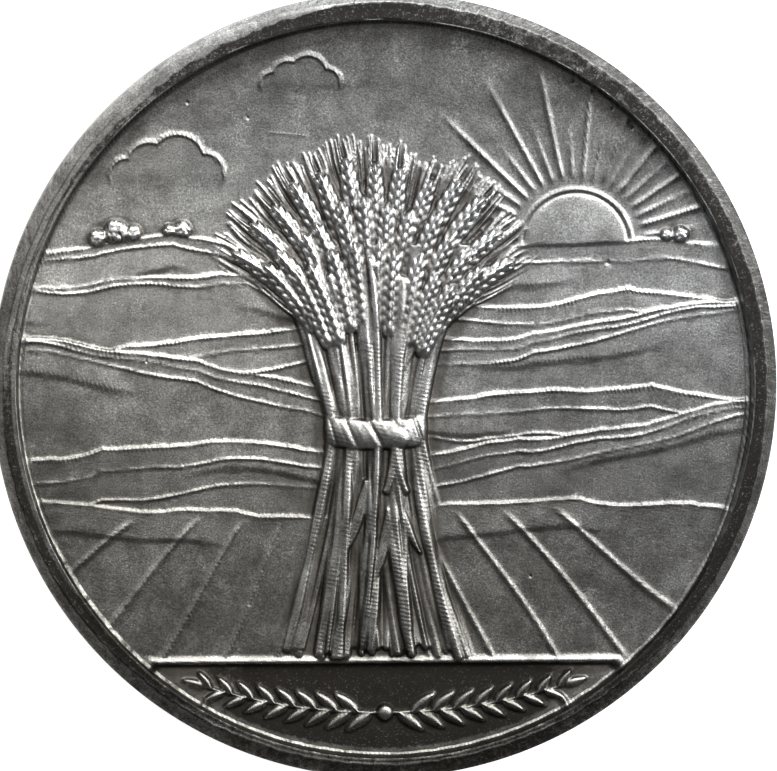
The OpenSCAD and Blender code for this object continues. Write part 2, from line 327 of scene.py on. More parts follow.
def ear(z, rng, x, y, angle, bend, z0, length):
    """A head of grain from its foot at x, y along angle, bent over by bend."""
    u = np.linspace(0, 1, EAR_STEPS + 1)
    a = angle + bend * u
    px, py = (foot + np.concatenate([[0], np.cumsum(part(a[1:]) * length / EAR_STEPS)])
              for foot, part in ((x, np.sin), (y, np.cos)))
    taper = np.sin(np.pi * np.clip(0.12 + 0.8 * u, 0, 1)) ** 0.6
    grain = length / EAR_ROWS * 0.86

    def at(t):
        return [float(np.interp(t, u, q)) for q in (px, py, a, taper)]

    strand(z, np.c_[px, py], EAR_WIDTH * 0.8 * taper, z0 - 0.14, 0.24)
    for k in range(EAR_ROWS):
        # Awns run beside the ear and end in a brush over its tip
        for side in (-1, 1):
            t = (k + 0.7) / EAR_ROWS
            cx, cy, turn, wide = at(t)
            d = turn + side * (0.1 + 0.16 * (1 - t)) + rng.uniform(-0.04, 0.04) + bend * (1 - t) * 0.6
            sx, sy = cx + side * math.cos(turn) * 0.32 * wide, cy - side * math.sin(turn) * 0.32 * wide
            reach = (1 - t) * length * 0.95 + rng.uniform(1.3, 2.3) * (1 - 0.25 * (1 - t))
            f = np.linspace(0, 1, 7)
            curve = d - side * 0.1 * f
            awn = np.c_[sx + np.sin(curve) * reach * f, sy + np.cos(curve) * reach * f]
            strand(z, awn, 0.09 - 0.055 * f, z0 * (1 - 0.85 * f) + 0.02, 0.1 - 0.06 * f)
        # Grains at both sides of the stem, and one on it
        cx, cy, turn, wide = at((k + 0.55) / EAR_ROWS)
        for side in (-1, 1):
            off = side * EAR_WIDTH * 0.62 * wide
            gx, gy = cx + off * math.cos(turn), cy - off * math.sin(turn)
            dome(z, gx, gy, grain, 0.27 * (0.6 + 0.4 * wide), turn + side * 0.36, z0 + 0.02, 0.25, 0.35)
        cx, cy, turn, wide = at(min((k + 1.05) / EAR_ROWS, 1))
        dome(z, cx, cy, grain, 0.25 * (0.6 + 0.4 * wide), turn, z0 + 0.1, 0.3, 0.4)


def straw(z, rng):
    """The bundle of stalks, splayed at the butt and gathered at the waist."""
    w = window(SHEAF_X - 9, SHEAF_X + 9, BUTT_Y, 9)
    s = (X[w] - SHEAF_X) / half_width(Y[w])
    on = (np.abs(s) < 0.97) & (Y[w] > BUTT_Y + 0.25 + 0.35 * np.sin(X[w] * 2.3) * np.sin(X[w] * 5.1))
    fill = np.maximum(body(s) + bundles(s, Y[w]) - 0.22, 0.02)
    z[w][on] = np.maximum(z[w], fill)[on]
    for i in rng.permutation(STALKS):
        s0 = float(np.clip(-0.97 + 1.94 * (i + rng.uniform(-0.4, 0.4)) / (STALKS - 1), -0.97, 0.97))
        cross = rng.uniform(-0.22, 0.22)
        y = np.linspace(BUTT_Y + rng.uniform(-0.25, 0.55), 8.2 - 3.5 * abs(s0), 50)
        t = (y - WAIST_Y) / 14.0
        sway = rng.uniform(-0.22, 0.22) * np.sin((y - WAIST_Y) * rng.uniform(0.14, 0.3))
        path = np.clip(s0 + cross * t, -0.99, 0.99)
        x = SHEAF_X + path * half_width(y) + sway
        lift = rng.uniform(-0.16, 0.08)
        thick = rng.uniform(0.14, 0.34) * (1 + 0.12 * np.sin(y * rng.uniform(0.8, 1.6) + i))
        strand(z, np.c_[x, y], thick, body(path * 0.97) + bundles(path, y) + lift - 0.14, 0.1 + 0.36 * thick)
    # A few dry leaves, the last ones upright
    for k in range(LEAVES):
        s0 = rng.uniform(-0.8, 0.8)
        y0 = rng.uniform(-8.5, -5.0) if k < 3 else rng.uniform(0.5, 2.0)
        f = np.linspace(0, 1, 24)
        y = y0 + (-5.2 if k < 3 else 3.5) * f
        side = math.copysign(1.0, s0 + rng.uniform(-0.3, 0.3))
        x = SHEAF_X + s0 * half_width(y) + side * 1.5 * f ** 1.8
        s1 = np.clip((x - SHEAF_X) / half_width(y), -1, 1)
        wide = 0.05 + 0.3 * np.sin(np.pi * np.clip(f, 0.03, 0.97)) ** 0.7
        strand(z, np.c_[x, y], wide, body(s1) + 0.02, 0.1)


def tie(z):
    """A twisted straw rope round the waist, with a knot and two short ends."""
    half, wide = 0.95, WAIST_W + 0.28
    w = window(SHEAF_X - wide, SHEAF_X + wide, WAIST_Y - 3, WAIST_Y + 3)
    s = (X[w] - SHEAF_X) / wide
    arch = np.sqrt(np.clip(1 - s ** 2, 0, 1))
    v = (Y[w] - WAIST_Y + 0.45 * arch - 0.2) / half
    inside = 1 - v ** 2
    on = (inside > 0) & (np.abs(s) < 1)
    lay = np.arcsin(np.clip(s, -1, 1)) * 4.2
    groove = np.abs(np.sin(lay * 1.5 + v * 1.0))
    fibre = np.sin(lay * 9.0 + v * 6.0)
    crown = 0.24 * np.sqrt(np.clip(inside, 0, 1))
    top = 0.2 + 0.86 * arch + crown - 0.13 * (1 - groove) ** 3 + 0.012 * fibre
    z[w][on] = np.maximum(z[w][on], top[on])
    kx, ky = SHEAF_X + 1.15, WAIST_Y - 0.35
    for side, turn in ((-1, 0.42), (1, -0.16)):
        f = np.linspace(0, 1, 14)
        x = kx + (0.35 * side + turn) * f + side * 0.55 * f ** 2
        y = ky - 0.5 - 3.0 * f
        strand(z, np.c_[x, y], 0.3 - 0.06 * f, 0.98 - 0.1 * f, 0.2)
        for k in (-1, 0, 1):
            strand(z, np.c_[x + 0.13 * k, y], 0.07, 1.12 - 0.11 * f - 0.03 * abs(k), 0.06)
    dome(z, kx, ky, 0.75, 1.05, 0.25, 0.98, 0.32)
    for k in (-2, -1, 0, 1, 2):
        f = np.linspace(-1, 1, 9)
        turn = np.c_[kx + 0.33 * k + 0.12 * f, ky + 0.62 * f]
        strand(z, turn, 0.1, 1.22 - 0.05 * abs(k) - 0.14 * f * f, 0.07)


def sheaf(z):
    rng = np.random.default_rng(11)
    straw(z, rng)
    for tier in TIERS:
        middle = (tier.count - 1) / 2
        for i in sorted(range(tier.count), key=lambda j: -abs(j - middle)):
            s = tier.spread * (2 * i / (tier.count - 1) - 1)
            y = tier.foot - tier.drop * s * s + rng.uniform(-0.4, 0.4)
            x = SHEAF_X + s * float(half_width(y)) * 0.92
            stalk_y = np.linspace(WAIST_Y, y, 30)
            stalk_x = SHEAF_X + s * 0.92 * half_width(stalk_y)
            height = tier.z + rng.uniform(-0.04, 0.04) - 0.1 * s * s
            strand(z, np.c_[stalk_x, stalk_y], 0.22, np.minimum(body(s) - 0.14, height), 0.2)
            ear(z, rng, x, y, s * tier.tilt + rng.uniform(-0.05, 0.05), s * tier.bend, height,
                tier.length * rng.uniform(0.93, 1.07))
    tie(z)


def stem(side, t):
    """The point at t, from 0 to 1, along the laurel's stem at one side."""
    return side * (LAUREL_X + LAUREL_REACH * t), LAUREL_Y + LAUREL_RISE * t * t


def leaf_angle(side, t, turn=0.0):
    """The angle from +Y of a leaf at t along the stem, turned off it by turn."""
    return side * (math.pi / 2 - (math.atan2(2 * LAUREL_RISE * t, LAUREL_REACH) + turn))


def laurel(z, side):
    """One branch of laurel, its leaves in pairs and one at the tip."""
    t = np.linspace(0, 1, 40)
    strand(z, np.c_[stem(side, t)], 0.13 - 0.05 * t, 0.08, 0.14)
    for k in range(LEAF_PAIRS):
        for up in (-1, 1):
            t = 0.09 + (0.84 * k + 0.26 * up) / (LEAF_PAIRS - 1)
            x, y = stem(side, t)
            length = 2.1 - 0.7 * t
            a = leaf_angle(side, t, up * math.radians(36))
            half = length / 2
            dome(z, x + half * math.sin(a), y + half * math.cos(a), half, length * 0.19, a, 0.03, 0.25, 0.25)
            tip = x + 0.85 * length * math.sin(a), y + 0.85 * length * math.cos(a)
            strand(z, [(x, y), tip], 0.05, 0.24, 0.05)
    a = leaf_angle(side, 1)
    x, y = stem(side, 1)
    dome(z, x + 0.8 * math.sin(a), y + 0.8 * math.cos(a), 0.8, 0.28, a, 0.03, 0.23, 0.3)


def exergue(z):
    z[Y < EXERGUE_Y] = 0.0
    d = Y - EXERGUE_Y
    bar = 0.56 - 0.5 * np.maximum(d - 0.1, 0) - 3.0 * np.maximum(-0.1 - d, 0) + 0.01 * noise(12, 0.5)
    z[:] = np.maximum(z, bar)
    for side in (-1, 1):
        laurel(z, side)
    dome(z, 0, LAUREL_Y, 0.55, 0.55, 0, 0.12, 0.34)


def relief():
    z = landscape()
    sheaf(z)
    exergue(z)
    z += 0.01 * noise(21, 3.1) + 0.006 * noise(22, 1.1)
    z = blur(z, 0.05)
    for x, y, radius in DENTS:
        z -= DENT_DEPTH * np.exp(-((X - x) ** 2 + (Y - y) ** 2) / radius ** 2)
    (x0, y0), (x1, y1) = SCRATCH
    across = Y - y0 - (y1 - y0) * (X - x0) / (x1 - x0)
    line = 0.02 * np.exp(-(across / 0.05) ** 2) * smooth(x0, x0 + 0.6, X) * smooth(x1, x1 - 0.6, X)
    return z + line * (0.6 + 0.4 * noise(23, 0.3))


# Mesh: the relief is cut into right triangles, small where its surface bends
GRID = 1024
TRIANGLES = 300000
LOOP = 1024
VALUES = ("hollow", "tarnish", "tooling", "soot", "scored")

# The worn rim by angle from +X: the radii of its inner edge, of its dark flat's end and of its bevel's start,
# the soot on the flat, the bevel's tarnish and soot, partly painted shade that leaves the bevel lighter at
# the top and darker at the lower side, and how hollow the bevel's section is (1 is straight)
RIM_COLUMNS = "turn ridge end start flat bevel soot bow".split()
RIM = [
    (0, 23.50, 24.24, 24.30, 0.84, 1.20, 0.15, 1.00),
    (30, 23.37, 24.26, 24.32, 0.80, 1.20, 0.00, 1.00),
    (50, 23.30, 24.28, 24.34, 0.79, 1.10, 0.00, 1.00),
    (72, 23.28, 24.30, 24.36, 0.72, 0.90, 0.00, 1.00),
    (88, 23.28, 24.33, 24.40, 0.84, 0.55, 0.00, 0.95),
    (97, 23.30, 24.34, 24.47, 0.88, 0.25, 0.00, 0.92),
    (104, 23.33, 24.14, 24.55, 0.84, 0.10, 0.00, 0.90),
    (115, 23.39, 23.99, 24.62, 0.80, 0.15, 0.00, 0.95),
    (132, 23.45, 23.86, 24.66, 0.70, 0.60, 0.00, 1.00),
    (148, 23.50, 23.84, 24.50, 0.62, 0.90, 0.00, 1.10),
    (165, 23.50, 23.80, 24.10, 0.45, 0.75, 0.05, 1.20),
    (178, 23.50, 24.20, 24.34, 0.62, 0.85, 0.08, 1.15),
    (190, 23.50, 24.30, 24.38, 0.84, 0.95, 0.12, 1.10),
    (205, 23.50, 24.26, 24.33, 0.88, 1.00, 0.22, 1.10),
    (218, 23.53, 24.20, 24.27, 0.90, 1.10, 0.36, 1.10),
    (232, 23.61, 24.10, 24.18, 0.80, 1.10, 0.50, 1.15),
    (250, 23.69, 24.08, 24.20, 0.52, 1.10, 0.60, 1.20),
    (275, 23.72, 24.06, 24.18, 0.56, 1.10, 0.74, 1.20),
    (292, 23.72, 24.06, 24.16, 0.60, 1.10, 0.72, 1.20),
    (307, 23.69, 24.15, 24.22, 0.76, 1.10, 0.62, 1.20),
    (322, 23.65, 24.25, 24.31, 0.94, 1.10, 0.40, 1.10),
    (345, 23.50, 24.30, 24.36, 0.92, 1.15, 0.30, 1.00),
]
# The foot of the edge and the back, inwards: radius, height, hollow, tarnish and painted light, soot and
# scored
BACK = [
    (EDGE_R, 0.55, 0.01, 0.4, 0, 0.3),
    (24.96, 0.34, 0.02, 0.3, 0, 0),
    (24.84, 0.16, 0.02, 0.3, 0, 0),
    (24.66, 0.04, 0.02, 0.3, 0, 0),
    (24.45, 0.0, 0.02, 0.4, 0.2, 0),
    (RIDGE_R, 0.0, 0.02, 0.4, 0.2, 0),
    (23.44, 0.05, 0.0, 0.4, 0, 0),
    (23.35, 0.25, -0.06, 0.5, 0, 0),
    (23.26, 0.45, -0.1, 0.5, 0, 0),
    (BACK_FOOT_R, BACK_Z, -0.08, 0.5, 0, 0),
    (22.6, BACK_Z, -0.02, 0.35, 0, 0),
    (12.0, BACK_Z, 0.0, 0.3, 0, 0),
]
# Toning of the field by height, darkest at the foot, and at the top partly painted shade under the rim: y and
# tone
TONES = [(-22, 1.0), (-14, 1.02), (-8, 0.86), (0, 0.38), (6, 0.04), (10, 0.01), (15, 0.46), (22, 1.0)]


def disc_map():
    """The grid's square laid over the unit disc, ring for ring."""
    g = np.linspace(-1, 1, GRID + 1)
    u, v = np.meshgrid(g, g)
    wide = np.abs(u) >= np.abs(v)
    a, b = np.where(wide, u, v), np.where(wide, v, u)
    turn = math.pi / 4 * b / np.where(a == 0, 1, a)
    angle = np.where(wide, turn, math.pi / 2 - turn)
    return a * np.cos(angle), a * np.sin(angle)


def sample(raster, x, y):
    """The raster's values at any points."""
    fx, fy = (x + HALF) / PITCH, (y + HALF) / PITCH
    i, j = np.clip(fy.astype(int), 0, COUNT - 2), np.clip(fx.astype(int), 0, COUNT - 2)
    ty, tx = fy - i, fx - j
    low = raster[i, j] * (1 - tx) + raster[i, j + 1] * tx
    high = raster[i + 1, j] * (1 - tx) + raster[i + 1, j + 1] * tx
    return low * (1 - ty) + high * ty


def bend(fields, r, c, r0, c0, r1, c1):
    """How far the surface at r, c is from the straight line between two others, in height, slope and tone."""
    x, y, z, gx, gy, tone = fields
    span = np.hypot(x[r0, c0] - x[r1, c1], y[r0, c0] - y[r1, c1])
    dz = np.abs(z[r, c] - (z[r0, c0] + z[r1, c1]) / 2)
    turn = np.hypot(gx[r, c] - (gx[r0, c0] + gx[r1, c1]) / 2, gy[r, c] - (gy[r0, c0] + gy[r1, c1]) / 2)
    fade = np.abs(tone[r, c] - (tone[r0, c0] + tone[r1, c1]) / 2)
    return dz + 0.06 * span * turn + 0.02 * fade


def split_values(fields):
    """For each grid point, the largest error that leaving it out brings, its finer points counted."""
    err = np.zeros((GRID + 1, GRID + 1))
    edge = np.zeros_like(err, bool)
    edge[0] = edge[-1] = edge[:, 0] = edge[:, -1] = True
    kept = np.zeros_like(edge)
    kept[::GRID * 4 // LOOP, ::GRID * 4 // LOOP] = True
    barred = edge & ~kept
    for side in (barred, barred.T):
        side[1, 1:-1] = side[-2, 1:-1] = True
        side[2, 1:-1:2] = side[-3, 1:-1:2] = True
    h = 1
    while h <= GRID // 2:
        odd, even = np.arange(h, GRID, 2 * h), np.arange(0, GRID + 1, 2 * h)
        for rows, cols, dr, dc in ((even, odd, 0, h), (odd, even, h, 0)):
            r, c = (q.ravel() for q in np.meshgrid(rows, cols, indexing="ij"))
            value = bend(fields, r, c, r - dr, c - dc, r + dr, c + dc)
            value[edge[r, c] & kept[r, c]] = np.inf
            if h > 1:
                for sr, sc in ((-1, -1), (-1, 1), (1, -1), (1, 1)):
                    rr, cc = r + sr * h // 2, c + sc * h // 2
                    ok = (rr >= 0) & (rr <= GRID) & (cc >= 0) & (cc <= GRID)
                    value[ok] = np.maximum(value[ok], err[rr[ok], cc[ok]])
            value[barred[r, c]] = 0
            err[r, c] = value
        r, c = (q.ravel() for q in np.meshgrid(odd, odd, indexing="ij"))
        way = np.where((((r + h) // (2 * h)) % 2) == (((c + h) // (2 * h)) % 2), 1, -1)
        value = bend(fields, r, c, r - h, c - h * way, r + h, c + h * way)
        for sr, sc in ((0, h), (0, -h), (h, 0), (-h, 0)):
            value = np.maximum(value, err[r + sr, c + sc])
        value[barred[r, c]] = 0
        err[r, c] = value
        h *= 2
    return err


def cut(err, tolerance):
    """The grid's triangles at a tolerance, as rows and columns of their corners."""
    n = GRID
    todo = np.array([[[0, 0], [n, n], [n, 0]], [[n, n], [0, 0], [0, n]]])
    done = []
    while len(todo):
        a, b, c = todo[:, 0], todo[:, 1], todo[:, 2]
        m = (a + b) // 2
        split = ((a + b) % 2 == 0).all(1) & (err[m[:, 0], m[:, 1]] > tolerance)
        done.append(todo[~split])
        a, b, c, m = a[split], b[split], c[split], m[split]
        todo = np.concatenate([np.stack([c, a, m], 1), np.stack([b, c, m], 1)])
    return np.concatenate(done)


def triangles_at(err, limit):
    """The finest cut of the grid that stays under a number of triangles."""
    low, high = 0.0, 0.1
    for _ in range(14):
        middle = (low + high) / 2
        if len(cut(err, middle)) > limit:
            low = middle
        else:
            high = middle
    return cut(err, high)


def loop_noise(seed, cells):
    """Smooth noise between -1 and 1 round a closed loop."""
    rng = np.random.default_rng(seed)
    g = rng.uniform(-1, 1, cells)
    f = np.arange(LOOP) / LOOP * cells
    i = f.astype(int)
    t = smooth(0, 1, f - i)
    return g[i % cells] * (1 - t) + g[(i + 1) % cells] * t


def stretch(turn, a, b, c, d):
    """1 from b to c, and smoothly down to 0 at a and d."""
    return smooth(a, b, turn) * (1 - smooth(c, d, turn))


def field_tone_and_painted_light(x, y):
    """Broad toning of the field by height and side, partly tarnish and partly painted light: a painted shadow
    in a band under the upper rim, a painted pool of light along the rim's foot at the lower right, and a
    lighter band inside the upper left.
    """
    r, turn = np.hypot(x, y), np.degrees(np.arctan2(y, x)) % 360
    # Painted shadow in a band on the field under the upper rim
    shade = 0.5 * smooth(21.9, 22.8, r) * smooth(15, 65, turn) * smooth(178, 130, turn)
    pale = 0.05 * smooth(20.9, 21.9, r) * smooth(23.0, 22.5, r)
    pale = pale * smooth(118, 132, turn) * smooth(160, 148, turn)
    # A painted pool of light on the field along the rim's foot at the lower right
    glow = 0.3 * smooth(21.2, 22.9, r) * smooth(288, 303, turn) * smooth(345, 325, turn)
    left = 0.25 * smooth(-17.0, -21.0, x) * smooth(6, 1, y) * smooth(-14, -8, y)
    left = left - 0.12 * smooth(-7, -15, x) * smooth(4, 7, y) * smooth(13, 9, y)
    right = 0.1 * smooth(2, 18, x) * smooth(-10, 0, y)
    corner = 0.24 * smooth(4, 18, x) * smooth(7, 17, y)
    return np.interp(y, *np.array(TONES).T) + shade - pale - glow + left + right + corner


def exergue_soot(x, y, z):
    """Black that stays on the ground under the laurel."""
    reach = np.abs(x) + sample(1.5 * noise(25, 1.6) + 0.6 * noise(26, 0.4), x, y)
    return smooth(EXERGUE_Y - 0.1, EXERGUE_Y - 0.5, y) * smooth(13.0, 8.6, reach) * smooth(0.09, 0.03, z)


def rim_state(turn):
    """The rim round the loop: its table's values, noise, and stretches where it differs."""
    at, *columns = np.array(RIM, float).T
    values = (np.interp(turn, at, column, period=360) for column in columns)
    rim = SimpleNamespace(turn=turn, **dict(zip(RIM_COLUMNS[1:], values)))
    rim.nick = np.clip(loop_noise(31, 220), 0, 1) ** 2 + np.clip(loop_noise(32, 90), 0, 1) ** 3
    rim.drift, rim.fine = loop_noise(33, 24), loop_noise(34, 340)
    rim.patch = smooth(-0.3, 0.5, loop_noise(35, 150))
    rim.low_side = stretch(turn, 190, 215, 325, 345)
    rim.sooty = stretch(turn, 188, 204, 325, 345)
    rim.soft = stretch(turn, 15, 35, 72, 88)
    width = rim.start - rim.end
    rim.banded = smooth(0.08, 0.25, width)
    ragged = 0.05 * rim.fine + 0.035 * rim.drift
    rim.end = rim.end + ragged + 0.05 * rim.fine * smooth(0.1, 0.4, width)
    rim.start = rim.start + ragged
    return rim


def foot_rings(rim, angle, foot_z):
    """The rim's foot, a round cove or at the low side a straight chamfer, and its wall, with painted light on
    the cove along the lower side.
    """
    foot_tone = field_tone_and_painted_light(FOOT_R * np.cos(angle), FOOT_R * np.sin(angle))
    grit = loop_noise(37, 600)
    # Painted light: less tarnish on the cove along the lower side, where it faces the light
    painted_foot_light = 0.35 * smooth(204, 216, rim.turn) + 0.65 * smooth(224, 238, rim.turn)
    painted_foot_light = painted_foot_light * (1 - smooth(340, 358, rim.turn))
    cove_tarnish_and_light = 0.75 - painted_foot_light * (0.2 + 0.35 * rim.patch + 0.2 * rim.fine) + 0.12 * rim.drift + 0.25 * grit
    inset = 0.065 + 0.035 * smooth(214, 236, rim.turn) + 0.03 * rim.fine + 0.03 * rim.drift
    foot_r = FOOT_R + 1.5 * np.maximum(rim.ridge - RIDGE_R, 0) + inset * rim.low_side
    cove = rim.ridge - 0.08 - foot_r
    chamfer = rim.low_side * (0.74 + 0.26 * rim.fine)
    waves = 0.26 * np.maximum(np.cos(np.radians(rim.turn - 215) * 3), 0)
    soot = (0.24 + waves + 0.2 * rim.fine + 0.25 * grit) * rim.low_side
    soot = np.maximum(soot * (1 - smooth(272, 290, rim.turn)), 0)
    rings = [(foot_r + 0.004, foot_z, 0.01, foot_tone, 0, 0)]
    for t in (0.12, 0.25, 0.38, 0.5, 0.62, 0.73, 0.83, 0.92):
        rise = cove * (chamfer * 0.46 * t + (1 - chamfer) * (1 - math.sqrt(1 - t * t)))
        height = foot_z - 0.6 * t * (1 - rim.low_side) * (foot_z - FIELD_Z) + rise
        rings.append((foot_r + cove * t, height, 0.01 + 0.03 * t, foot_tone * (1 - t) + cove_tarnish_and_light * t, soot, 0))
    wall_r, wall_z = rings[-1][:2]
    hollow, tarnish = 0.02 - 0.025 * rim.sooty, 0.05 + 0.35 * rim.sooty
    for t in (0.3, 0.65, 0.92):
        radius, height = wall_r + (rim.ridge - wall_r) * t, wall_z + (TOP_Z - 0.02 - wall_z) * t
        rings.append((radius, height, hollow, tarnish, 0.9 * rim.sooty, 0))
    return rings


def flat_rings(rim):
    """The dark flat on top of the rim."""
    ridge, end, start, nick, flat = rim.ridge, rim.end, rim.start, rim.nick, rim.flat
    lit = smooth(-0.4, 0.6, loop_noise(36, 130)) * (1 - rim.low_side)
    bared = stretch(rim.turn, 140, 155, 205, 222)
    border = stretch(rim.turn, 192, 204, 318, 334) * (0.35 + 0.35 * rim.patch)
    raised = 0.022 * border
    soot = flat * (1 - 0.75 * bared)
    end_soot = (1 - 0.4 * border) * flat * (1 - 0.2 * rim.soft)
    band = rim.banded
    band_soot = flat * (0.9 - 0.5 * border) * (1 - band) + 0.3 * flat * band
    start_tarnish = rim.bevel + (0.35 - 0.6 * rim.bevel) * band
    start_soot = 0.7 * rim.soot + (0.9 - 0.2 * rim.soft) * flat * (1 - band) * (1 - border)
    return [
        (ridge, TOP_Z - 0.012 - 0.02 * nick, 0.05 * lit, 0.5, 0.9 * rim.sooty, 0),
        (ridge + 0.06, TOP_Z - 0.01 - 0.02 * nick - 0.008 * lit, 0.05 * lit, flat, soot * (1 - lit), 0),
        (ridge + 0.12, TOP_Z - 0.014 - 0.02 * lit, -0.01, flat, soot, 0),
        (ridge + 0.2, TOP_Z - 0.014 - 0.024 * bared, -0.01 + 0.03 * bared, flat, soot, 0),
        (ridge * 0.5 + end * 0.5, TOP_Z - 0.04 - 0.012 * rim.drift, -0.01, flat, flat, 0),
        (ridge * 0.15 + end * 0.85, TOP_Z - 0.045, -0.01, flat, flat * (1 - 0.1 * rim.soft), 0),
        (end, TOP_Z - 0.05 + raised, 0.03 * border, flat, end_soot, 0),
        (end * 0.75 + start * 0.25, TOP_Z - 0.054 + raised, 0.02 * border, 0.9 - 0.42 * band, band_soot, 0),
        (start, TOP_Z - 0.07 + raised - 0.02 * nick, 0.03 * border, start_tarnish, start_soot, 0.2),
    ]


def bevel_rings(rim):
    top_tone = 0.25 * stretch(rim.turn, 40, 70, 100, 118)
    bare = stretch(rim.turn, 196, 208, 232, 246) * (0.7 + 0.3 * rim.patch)
    rings = []
    for s in (0.12, 0.3, 0.5, 0.72, 0.96):
        near = bare * max(1 - s / 0.45, 0)
        drop = 0.07 + 0.46 * s ** rim.bow + 0.012 * rim.nick * (1 - s)
        # The bevel's tarnish by angle, partly painted shade: lighter at the top, darker at the lower side
        tarnish = rim.bevel + top_tone * (1 - s) - 0.55 * near
        soot = rim.soot + rim.soft * rim.flat * max(0.45 - 1.2 * s, 0) - 0.6 * rim.soot * near
        rings.append((rim.start + (EDGE_R - rim.start) * s, TOP_Z - drop, 0.01, tarnish, soot, 1))
    return rings + [
        (EDGE_R, TOP_Z - 0.57, 0.01, rim.bevel, rim.soot + 0.35 * rim.low_side, 1),
        (EDGE_R, 2.0, 0.0, 0.5 * rim.bevel + 0.2, 0.5 * rim.soot, 0.3),
    ]


def rim_rings(angle, foot_z):
    """Rings from the rim's foot to the back: radius, height, hollow, tarnish and painted light, soot and
    scored.
    """
    rim = rim_state(np.degrees(angle) % 360)
    return foot_rings(rim, angle, foot_z) + flat_rings(rim) + bevel_rings(rim) + BACK


def vertex_normals(points, faces):
    a, b, c = (points[faces[:, k]] for k in range(3))
    across = np.cross(b - a, c - a)
    total = np.zeros_like(points)
    for k in range(3):
        for axis in range(3):
            total[:, axis] += np.bincount(faces[:, k], across[:, axis], len(points))
    return total / np.linalg.norm(total, axis=1)[:, None]


def obverse():
    """The relief inside the rim: points, exact normals, VALUES, faces and outer loop."""
    z = relief()
    # The broad second term paints shade on the field round the high relief
    hollow = z - blur(z, 0.45) + 0.35 * np.minimum(z - blur(z, 1.2) + 0.04, 0)
    gy, gx = np.gradient(z, PITCH)
    ux, uy = disc_map()
    x, y = FOOT_R * ux, FOOT_R * uy
    fields = x, y, sample(z, x, y), sample(gx, x, y), sample(gy, x, y), field_tone_and_painted_light(x, y)
    triangles = triangles_at(split_values(fields), TRIANGLES)
    keys, faces = np.unique(triangles[..., 0] * (GRID + 1) + triangles[..., 1], return_inverse=True)
    rows, cols = keys // (GRID + 1), keys % (GRID + 1)
    vx, vy, vz, slope_x, slope_y, tone = (field[rows, cols] for field in fields)
    normals = np.c_[-slope_x, -slope_y, np.ones(len(keys))]
    normals /= np.linalg.norm(normals, axis=1)[:, None]
    tooling = smooth(0.3, 0.6, vz) * (1 - 0.85 * smooth(2, 5, vy)) * (np.hypot(vx, vy) < 22.8)
    values = np.c_[sample(hollow, vx, vy), tone, tooling, exergue_soot(vx, vy, vz), np.zeros(len(keys))]
    on_edge = np.flatnonzero((rows == 0) | (rows == GRID) | (cols == 0) | (cols == GRID))
    loop = on_edge[np.argsort(np.arctan2(vy[on_edge], vx[on_edge]))]
    assert len(loop) == LOOP, len(loop)
    return np.c_[vx, vy, FIELD_Z + vz], normals, values, faces.reshape(-1, 3), loop


def medal_arrays():
    """The whole medal in metres: points, normals, VALUES, faces, and how many faces are relief."""
    points, exact, values, faces, loop = obverse()
    inner, relief_faces = len(points), len(faces)
    angle = np.arctan2(points[loop, 1], points[loop, 0])
    point_rows, value_rows, face_rows = [points], [values], [faces]
    last, base = loop, inner
    for ring_values in rim_rings(angle, points[loop, 2]):
        radius, height, hollow, tarnish, soot, scored = (np.broadcast_to(q, (LOOP,)) for q in ring_values)
        point_rows.append(np.c_[radius * np.cos(angle), radius * np.sin(angle), height])
        value_rows.append(np.c_[hollow, tarnish, np.zeros(LOOP), soot, scored])
        ring = base + np.arange(LOOP)
        a, b = last, np.roll(last, -1)
        c, d = np.roll(ring, -1), ring
        face_rows += [np.c_[a, d, c], np.c_[a, c, b]]
        last, base = ring, base + LOOP
    point_rows.append([[0, 0, BACK_Z]])
    value_rows.append([[0.0, 0.3, 0.0, 0.0, 0.0]])
    face_rows.append(np.c_[last, np.full(LOOP, base), np.roll(last, -1)])
    points, faces = np.concatenate(point_rows), np.concatenate(face_rows)
    normals = vertex_normals(points, faces)
    free = np.ones(inner, bool)
    free[loop] = False
    normals[:inner][free] = exact[free]
    return points / 1000, normals, np.concatenate(value_rows), faces, relief_faces


# Objects, in metres
def placed(name, data):
    obj = bpy.data.objects.new(name, data)
    bpy.context.scene.collection.objects.link(obj)
    return obj


def piece(name, points, normals, values, faces):
    """One mesh of the medal from some of its faces, with the medal's own normals along the seams."""
    used, faces = np.unique(faces, return_inverse=True)
    mesh = bpy.data.meshes.new(name)
    mesh.vertices.add(len(used))
    mesh.vertices.foreach_set("co", points[used].ravel())
    mesh.loops.add(faces.size)
    mesh.loops.foreach_set("vertex_index", faces.ravel().astype(np.int32))
    mesh.polygons.add(faces.size // 3)
    mesh.polygons.foreach_set("loop_start", np.arange(0, faces.size, 3, dtype=np.int32))
    mesh.polygons.foreach_set("use_smooth", np.ones(faces.size // 3, bool))
    mesh.update(calc_edges=True)
    mesh.validate()
    for k, value in enumerate(VALUES):
        attribute = mesh.attributes.new(value, "FLOAT", "POINT")
        attribute.data.foreach_set("value", values[used, k].astype(np.float32))
    mesh.normals_split_custom_set_from_vertices(normals[used])
    print(name, faces.size // 3, "triangles")
    return placed(name, mesh)


def in_sheaf(x, y):
    """A plain outline round the sheaf, where the relief is parted into two meshes."""
    crown = ((x - SHEAF_X) / 11.4) ** 2 + ((y - 7.0) / 10.6) ** 2 < 1
    stalks = (np.abs(x - SHEAF_X) < half_width(y) + 0.9) & (y < 0) & (y > EXERGUE_Y + 0.1)
    return crown | stalks


def medal():
    points, normals, values, faces, relief_faces = medal_arrays()
    middle = points[faces].mean(1) * 1000
    rim = np.arange(len(faces)) >= relief_faces
    sheaf_part = ~rim & in_sheaf(middle[:, 0], middle[:, 1])
    parts = {"medal_rim_and_back": rim, "medal_sheaf": sheaf_part, "medal_field": ~rim & ~sheaf_part}
    return [piece(name, points, normals, values, faces[mask]) for name, mask in parts.items()]


